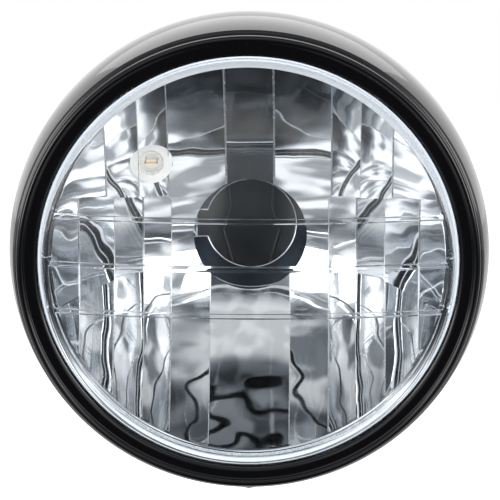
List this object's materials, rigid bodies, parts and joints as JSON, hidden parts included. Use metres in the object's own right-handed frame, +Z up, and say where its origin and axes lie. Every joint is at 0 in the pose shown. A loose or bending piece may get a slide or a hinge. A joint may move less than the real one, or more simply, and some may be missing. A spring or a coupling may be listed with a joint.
{
  "type": "motorcycle headlight",
  "caption": "Round black motorcycle headlight with a bowl bucket, a rolled rim, a clear ribbed glass lens and a faceted reflector, fixed at both sides.",
  "frame": {"origin": "middle of the lamp's bounding box, on the optical axis", "axes": "+Z up, the lens faces -Y, +X to the right side mount as seen from the front"},
  "size_m": [0.1968, 0.1256, 0.1985],
  "materials": {
    "bucket_paint": "gloss black paint over pressed steel",
    "rim_paint": "gloss black paint over pressed steel",
    "rubber": "satin black rubber",
    "boot_rubber": "satin black rubber",
    "plain_steel": "zinc plated pressed steel",
    "plated_steel": "bright zinc plated steel",
    "spring_steel": "spring steel",
    "lens_glass": "clear moulded glass with three ribs",
    "reflector_metal": "mirror bright faceted reflector",
    "seat_metal": "dull pressed metal",
    "white_plastic": "white moulded plastic",
    "terminal_brass": "plain brass",
    "bulb_glass": "clear thin glass",
    "filament_metal": "tungsten wire"
  },
  "bodies": {
    "root": {"bucket": "bucket_paint", "cable_grommet": "rubber", "side_plates": "plain_steel", "mount_nuts": "plain_steel", "rim": "rim_paint", "rim_hook": "plain_steel", "screw_bracket": "plain_steel", "screw_nut": "plain_steel", "screw_washer": "plated_steel", "rim_screw": "plated_steel", "rim_gasket": "rubber", "lens": "lens_glass", "lens_seal": "white_plastic", "reflector": "reflector_metal", "retaining_clips": "spring_steel", "bulb_seat": "seat_metal", "seat_rivets": "plain_steel", "bulb_clip": "spring_steel", "clip_bracket": "seat_metal", "clip_screw": "plated_steel", "bulb_boot": "boot_rubber", "parking_socket": "white_plastic", "parking_terminals": "terminal_brass", "parking_seal": "rubber", "parking_bulb": "bulb_glass", "parking_filament": "filament_metal", "parking_leads": "plain_steel"}
  },
  "joints": []
}
